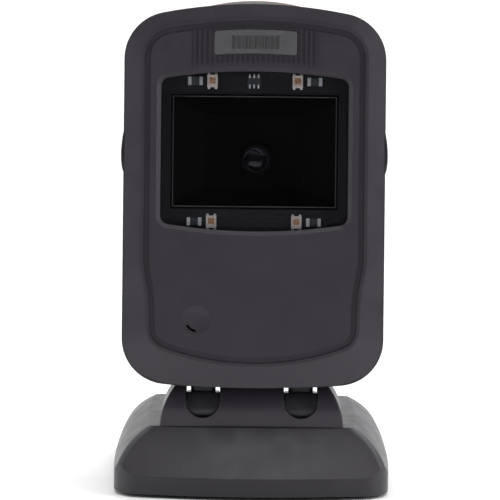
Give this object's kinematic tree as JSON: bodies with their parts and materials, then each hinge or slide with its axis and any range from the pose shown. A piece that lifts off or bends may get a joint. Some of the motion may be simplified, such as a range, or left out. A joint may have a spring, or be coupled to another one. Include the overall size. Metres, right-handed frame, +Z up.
{
  "type": "presentation barcode scanner",
  "caption": "Hands-free barcode scanner: an upright imager head with a tinted window, side triggers and a rear cable socket, tilting on a weighted stand.",
  "frame": {"origin": "on the table, under the middle of the stand", "axes": "+Z up, the scan window faces -Y, +X to the right as seen from behind the window looking along +Y"},
  "size_m": [0.082, 0.08, 0.143],
  "materials": {
    "casing_plastic": "fine-textured charcoal",
    "stand_plastic": "fine-textured charcoal",
    "window_plastic": "tinted clear, polished",
    "foam": "closed-cell foam",
    "nameplate_metal": "fine-blasted, dark",
    "milky_plastic": "milky, translucent",
    "led_body": "moulded",
    "black_board": "black solder mask",
    "green_board": "green solder mask",
    "chip_black": "moulded",
    "black_plastic": "smooth black",
    "optic_glass": "coated",
    "lens_metal": "black anodised",
    "sensor": "polished",
    "zinc_screw": "zinc plated",
    "black_screw": "black oxide",
    "ribbon": "amber film",
    "gold": "gold plated",
    "bracket_steel": "zinc plated",
    "leg_plastic": "smooth, glass-filled",
    "ballast_iron": "as cast",
    "foot_rubber": "matt",
    "button_plastic": "fine-textured charcoal"
  },
  "bodies": {
    "stand": {"base_shell": "stand_plastic", "base_plate": "stand_plastic", "base_screws": "black_screw", "ballast_weight": "ballast_iron", "rubber_feet": "foot_rubber", "neck_shroud": "stand_plastic", "pivot_shaft": "bracket_steel", "shaft_nut": "bracket_steel", "friction_washers": "bracket_steel", "pivot_bracket": "bracket_steel", "pivot_bracket_screws": "zinc_screw"},
    "head": {"front_casing": "casing_plastic", "rear_casing": "casing_plastic", "scan_window": "window_plastic", "window_gasket": "foam", "nameplate": "nameplate_metal", "indicator_light_pipe": "milky_plastic", "status_led": "led_body", "illumination_board": "black_board", "illumination_leds": "led_body", "led_resistors": "chip_black", "light_sensor_chip": "chip_black", "aperture_frame": "black_plastic", "board_screws": "black_screw", "camera_housing": "black_plastic", "lens_barrel": "lens_metal", "lens_glass": "optic_glass", "image_sensor": "sensor", "engine_board": "green_board", "engine_screws": "zinc_screw", "flex_cable": "ribbon", "main_board": "green_board", "main_board_chips": "chip_black", "main_board_screws": "zinc_screw", "cable_socket": "black_plastic", "socket_contacts": "gold", "beeper": "black_plastic", "beeper_gasket": "foam", "casing_screws": "black_screw", "trigger_switches": "chip_black", "switch_boards": "green_board", "leg_bracket": "leg_plastic", "leg_bracket_screws": "zinc_screw"},
    "left_trigger": {"left_trigger_button": "button_plastic"},
    "right_trigger": {"right_trigger_button": "button_plastic"}
  },
  "joints": [
    {"name": "head_tilt", "type": "hinge", "parent": "stand", "child": "head", "pos_m": [0, -0.0177, 0.023], "axis": [1, 0, 0], "range_deg": [-20, 40]},
    {"name": "left_trigger_press", "type": "slide", "parent": "head", "child": "left_trigger", "axis": [1, 0, 0], "range_m": [0, 0.0008], "stiffness_N_per_m": 1500, "springref_m": -0.0003},
    {"name": "right_trigger_press", "type": "slide", "parent": "head", "child": "right_trigger", "axis": [-1, 0, 0], "range_m": [0, 0.0008], "stiffness_N_per_m": 1500, "springref_m": -0.0003}
  ]
}
